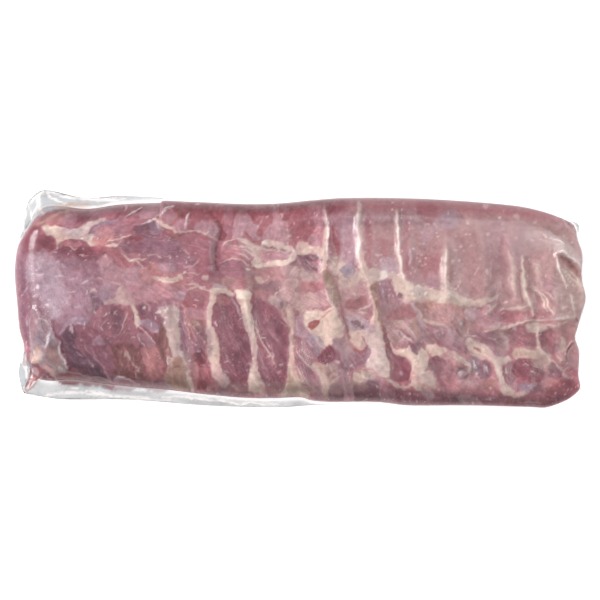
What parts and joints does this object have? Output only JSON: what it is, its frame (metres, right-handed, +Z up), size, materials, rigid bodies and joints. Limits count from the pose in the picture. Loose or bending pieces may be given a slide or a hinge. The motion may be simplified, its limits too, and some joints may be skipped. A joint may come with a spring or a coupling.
{
  "type": "vacuum-sealed rack of raw pork back ribs",
  "caption": "Rack of raw pork back ribs sealed in clear film, bone side up, flat underneath, with thin film fins at the blade end.",
  "frame": {"origin": "middle of the flat underside, under the centre of the pack's box", "axes": "+X along the rack to its tail end, +Y to its thick loin edge, +Z up through the bone side"},
  "size_m": [0.45, 0.1722, 0.037],
  "materials": {
    "film_over_meat": "clear shrink film tight over raw meat, fat and bone",
    "raw_rack": "moist raw pork with cream fat and silvery membrane",
    "clear_film": "clear gloss film, milky where two plies lie together",
    "meat_juice": "dark red liquid under film"
  },
  "bodies": {
    "root": {"sealed_pack": "film_over_meat"}
  },
  "joints": []
}
